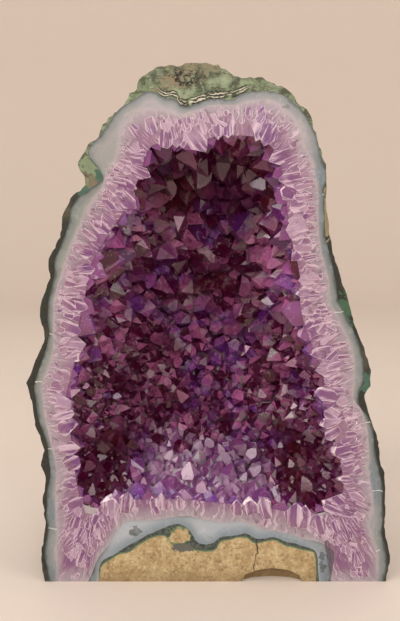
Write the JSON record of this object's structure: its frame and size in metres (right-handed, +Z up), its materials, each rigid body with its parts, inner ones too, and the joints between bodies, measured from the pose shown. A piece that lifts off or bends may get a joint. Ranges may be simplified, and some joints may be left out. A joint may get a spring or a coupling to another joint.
{
  "type": "amethyst geode",
  "caption": "Upright sawn amethyst geode: a dark lumpy rind and grey agate band round an open hollow lined with purple quartz points, standing on its flat sawn base.",
  "frame": {"origin": "middle of the bounding box, on the sawn base", "axes": "+Z up along the height, +Y from the sawn face to the rounded back, so the open hollow faces -Y, +X to the right of someone who looks into the hollow"},
  "size_m": [0.2396, 0.1661, 0.3396],
  "materials": {
    "weathered_rind": "rough weathered basalt skin with green celadonite on the crest",
    "grey_agate": "polished on the sawn face",
    "amethyst": "clear glassy points on pale lilac fibrous roots",
    "tan_host_rock": "matt, granular, with a dark green skin"
  },
  "bodies": {
    "root": {"basalt_rind": "weathered_rind", "agate_band": "grey_agate", "amethyst_crust": "amethyst", "matrix_rock": "tan_host_rock"}
  },
  "joints": []
}
